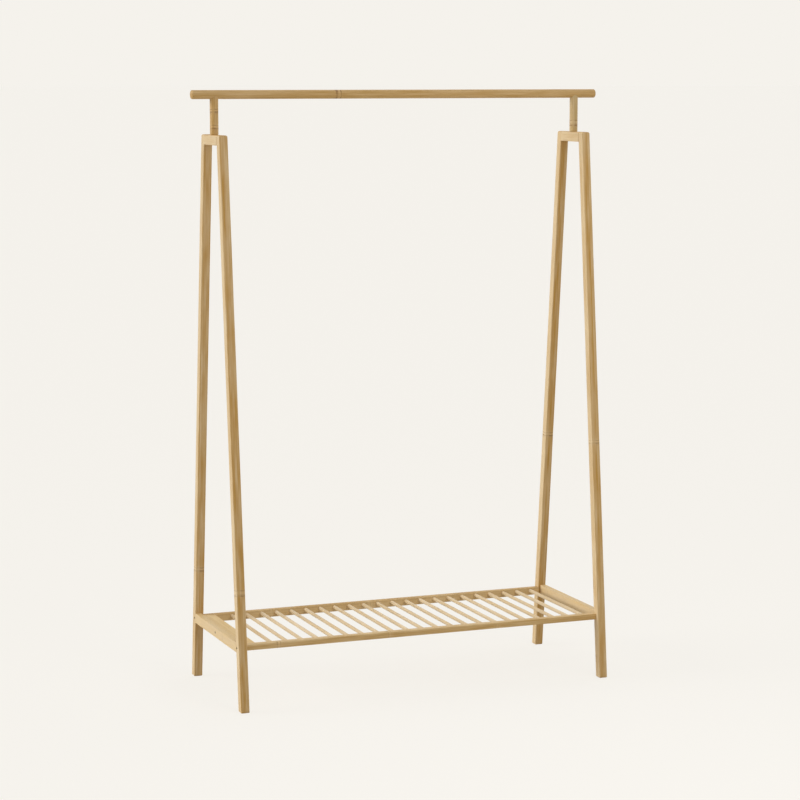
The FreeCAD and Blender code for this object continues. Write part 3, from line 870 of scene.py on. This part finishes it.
@dataclass
class Shelf:
    """The two long rails, the end slat and the rungs."""

    workshop: Workshop
    rail_finish: WoodFinish = SHELF_BAMBOO
    # The end slat's finish is paler than the rails' to paint light over the crossbar's shadow on it.
    slat_finish_painted_light: WoodFinish = SLAT_BAMBOO_PAINTED_LIGHT
    rung_finish: WoodFinish = RUNG_BAMBOO
    strip: float = 40.0 * MM
    face: float = 0.42          # how much paler the flat of a ply is, on the front rail and the slat
    back_face: float = 0.25     # the same on the back rail
    front_seed: float = 31.0
    back_seed: float = 37.0
    slat_seed: float = 41.0
    rung_seed: float = 53.0
    rung_ease: float = 0.6 * MM
    rung_around: int = 40
    rung_barrel: int = 40
    rung_corner: int = 3
    front_joints: CulmMarks = CulmMarks(0.29, -0.380, spread=0.03, share=0.9, depth=0.9)
    rung_joints: CulmMarks = CulmMarks(0.24, 0.0, spread=1.0, share=0.5)

    def build_rails(self) -> None:
        """Dresses the long rails and the end slat."""
        for node, finish, along, across, seed, face, culm in (
                ("front_shelf_rail", self.rail_finish, X_AXIS, Z_AXIS, self.front_seed, self.face,
                 self.front_joints),
                ("back_shelf_rail", self.rail_finish, X_AXIS, Y_AXIS, self.back_seed, self.back_face,
                 CulmMarks()),
                ("left_end_slat", self.slat_finish_painted_light, Y_AXIS, Z_AXIS, self.slat_seed, self.face,
                 CulmMarks())):
            size = reach(node)
            halves = [abs(size.dot(way)) / 2 for way in (across, along.cross(across))]
            grain = Grain(middle(node), along, across, seed, *halves, strip=self.strip, face=face,
                          culm=culm)
            paint(frame["nodes"][node], self.workshop.wood(node, finish, grain))
            log.info("%s: dressed", node)

    def build_rungs(self) -> None:
        """Turns the rungs, all from one material whose cells are as wide as the rungs' spacing."""
        nodes = sorted(name for name in frame["nodes"] if name.startswith("rung_"))
        pitch = middle(nodes[1]).x - middle(nodes[0]).x
        grain = Grain(middle(nodes[0]), Y_AXIS, X_AXIS, self.rung_seed, ply=pitch, strip=FAR, face=0.0,
                      culm=self.rung_joints)
        material = self.workshop.wood("rungs", self.rung_finish, grain)
        for number, node in enumerate(nodes):
            rung = RoundBar(node, node + "_turned", Y_AXIS, self.rung_finish, self.rung_ease,
                            self.rung_around, self.rung_barrel, self.rung_corner, phase=float(number))
            paint(rung.build(), material)

    def build(self) -> None:
        """Builds the whole shelf."""
        self.build_rails()
        self.build_rungs()


@dataclass
class Fasteners:
    """The screws, bolts and dowels that hold the rack together."""

    workshop: Workshop
    dowel_seed: float = 60.0    # of the first group of dowels

    def build(self) -> None:
        """Dresses each group of fasteners."""
        nodes = frame["nodes"]
        for node, finish in (("shelf_screws", BLACK_OXIDE), ("post_bolts", ZINC_PLATE)):
            paint(nodes[node], self.workshop.metal(node, finish))
            log.info("%s: dressed", node)
        for number, (node, along, across) in enumerate((("rail_dowels", Z_AXIS, X_AXIS),
                                                        ("block_dowels", Y_AXIS, X_AXIS),
                                                        ("crossbar_dowels", Y_AXIS, X_AXIS),
                                                        ("slat_dowels", Y_AXIS, X_AXIS))):
            grain = Grain(middle(node), along, across, self.dowel_seed + number, culm=NO_JOINTS)
            paint(nodes[node], self.workshop.wood(node, DOWEL_BEECH, grain))
            log.info("%s: dressed", node)


@dataclass(frozen=True)
class FarLamp:
    """A far soft lamp: the way towards it, how strong it is and how many degrees wide it looks."""

    name: str
    toward: Place
    strength: float
    width: float


@dataclass(frozen=True)
class PanelLamp:
    """A square soft panel near the rack: its place, what it points at, its power in watts and its size."""

    name: str
    place: Place
    target: Place
    power: float
    size: float


@dataclass
class Studio:
    """The pale floor and backdrop, the lamps and the camera."""

    backdrop: Color = (0.913, 0.888, 0.838, 1)
    ambient: float = 0.27
    floor_reach: float = 300.0
    floor_drop: float = 0.2 * MM
    floor_bounce: Color = (0.72, 0.70, 0.66, 1)
    floor_glow: float = 0.86    # share of the floor's look that shadows leave alone
    floor_light: float = 0.72   # light that reaches the open floor
    lamps: tuple[FarLamp, ...] = (FarLamp("key", (-0.94, 0.22, 0.25), 1.9, 34.0),
                                  FarLamp("overhead", (0.10, -0.25, 0.96), 0.66, 80.0),
                                  FarLamp("fill", (0.70, 0.55, 0.45), 0.45, 60.0))
    panel: PanelLamp = PanelLamp("front_panel", (0.5, -2.5, 1.9), (0.15, 0.0, 0.9), 17.0, 1.4)
    camera_place: Place = (-2.2226, -5.6865, 1.5363)
    camera_yaw: float = 0.3730
    camera_pitch: float = 0.1332
    lens: float = 109.18
    sensor: float = 36.0

    def seen_directly(self, wiring: Wiring) -> Socket:
        """Tells rays that show a thing from rays that only carry its light.

        Args:
            wiring: the wiring of the material or world that asks.

        Returns:
            1 for rays from the camera and for mirrored or refracted ones, and 0 for the others.
        """
        rays = wiring.add("ShaderNodeLightPath").outputs
        first = wiring.math("MAXIMUM", rays["Is Camera Ray"], rays["Is Glossy Ray"])
        return wiring.math("MAXIMUM", first, rays["Is Transmission Ray"])

    def build_world(self) -> None:
        """A plain backdrop for the camera, and an even dim light for the object."""
        world = bpy.data.worlds.new("studio")
        bpy.context.scene.world = world
        world.use_nodes = True
        world.node_tree.nodes.clear()
        wiring = Wiring(world.node_tree)
        light = wiring.add("ShaderNodeBackground", {"Color": WHITE, "Strength": self.ambient})
        seen = wiring.add("ShaderNodeBackground", {"Color": self.backdrop, "Strength": 1.0})
        mix = wiring.add("ShaderNodeMixShader", {0: self.seen_directly(wiring), 1: light.outputs[0],
                                                 2: seen.outputs[0]})
        wiring.add("ShaderNodeOutputWorld", {"Surface": mix.outputs[0]})

    def build_floor(self) -> None:
        """A wide floor: matt for the light it throws back, and in the backdrop's colour where it is seen."""
        corners = np.array([[-1, -1, 0], [1, -1, 0], [1, 1, 0], [-1, 1, 0]]) * self.floor_reach
        corners[:, 2] = -self.floor_drop
        mesh = bpy.data.meshes.new("studio_floor")
        mesh.from_pydata(corners.tolist(), [], [(0, 1, 2, 3)])
        floor = bpy.data.objects.new("studio_floor", mesh)
        bpy.context.scene.collection.objects.link(floor)
        material = bpy.data.materials.new("studio_floor")
        material.use_nodes = True
        material.node_tree.nodes.clear()
        wiring = Wiring(material.node_tree)
        matt = [channel * (1 - self.floor_glow) / self.floor_light for channel in self.backdrop[:3]]
        bounce = wiring.add("ShaderNodeBsdfDiffuse", {"Color": self.floor_bounce})
        glow = wiring.add("ShaderNodeEmission", {"Color": self.backdrop, "Strength": self.floor_glow})
        shade = wiring.add("ShaderNodeBsdfDiffuse", {"Color": (*matt, 1)})
        seen = wiring.add("ShaderNodeAddShader", {0: glow.outputs[0], 1: shade.outputs[0]})
        mix = wiring.add("ShaderNodeMixShader", {0: self.seen_directly(wiring), 1: bounce.outputs[0],
                                                 2: seen.outputs[0]})
        wiring.add("ShaderNodeOutputMaterial", {"Surface": mix.outputs[0]})
        paint(floor, material)

    def build_lamps(self) -> None:
        """Hangs the far lamps, whose light is even all over, and the panel, which favours the rack's top."""
        for lamp in self.lamps:
            light = bpy.data.lights.new(lamp.name, "SUN")
            light.energy = lamp.strength
            light.angle = math.radians(lamp.width)
            item = bpy.data.objects.new(lamp.name, light)
            item.rotation_euler = Vector(lamp.toward).to_track_quat("Z", "Y").to_euler()
            bpy.context.scene.collection.objects.link(item)
        light = bpy.data.lights.new(self.panel.name, "AREA")
        light.energy = self.panel.power
        light.size = self.panel.size
        item = bpy.data.objects.new(self.panel.name, light)
        item.location = self.panel.place
        back = Vector(self.panel.place) - Vector(self.panel.target)
        item.rotation_euler = back.to_track_quat("Z", "Y").to_euler()
        bpy.context.scene.collection.objects.link(item)

    def build_camera(self) -> None:
        """Sets the camera at the photograph's viewing angle."""
        lens = bpy.data.cameras.new("camera")
        lens.lens = self.lens
        lens.sensor_width = self.sensor
        camera = bpy.data.objects.new("camera", lens)
        camera.location = self.camera_place
        camera.rotation_euler = (math.pi / 2 - self.camera_pitch, 0, -self.camera_yaw)
        bpy.context.scene.collection.objects.link(camera)
        bpy.context.scene.camera = camera

    def build(self) -> None:
        """Sets up everything round the rack."""
        bpy.context.scene.view_settings.view_transform = "Standard"
        self.build_world()
        self.build_floor()
        self.build_lamps()
        self.build_camera()
        log.info("studio: ready")


def main() -> None:
    """Builds the rack piece by piece, then the studio."""
    logging.basicConfig(level=logging.INFO, format="%(name)s %(message)s")
    workshop = Workshop()
    HangingBar(workshop).build()
    EndFrame(workshop, Side.LEFT, LEFT_JOINTS, seed=71.0).build()
    EndFrame(workshop, Side.RIGHT, RIGHT_JOINTS, seed=83.0).build()
    Shelf(workshop).build()
    Fasteners(workshop).build()
    Studio().build()


if __name__ == "__main__":
    main()
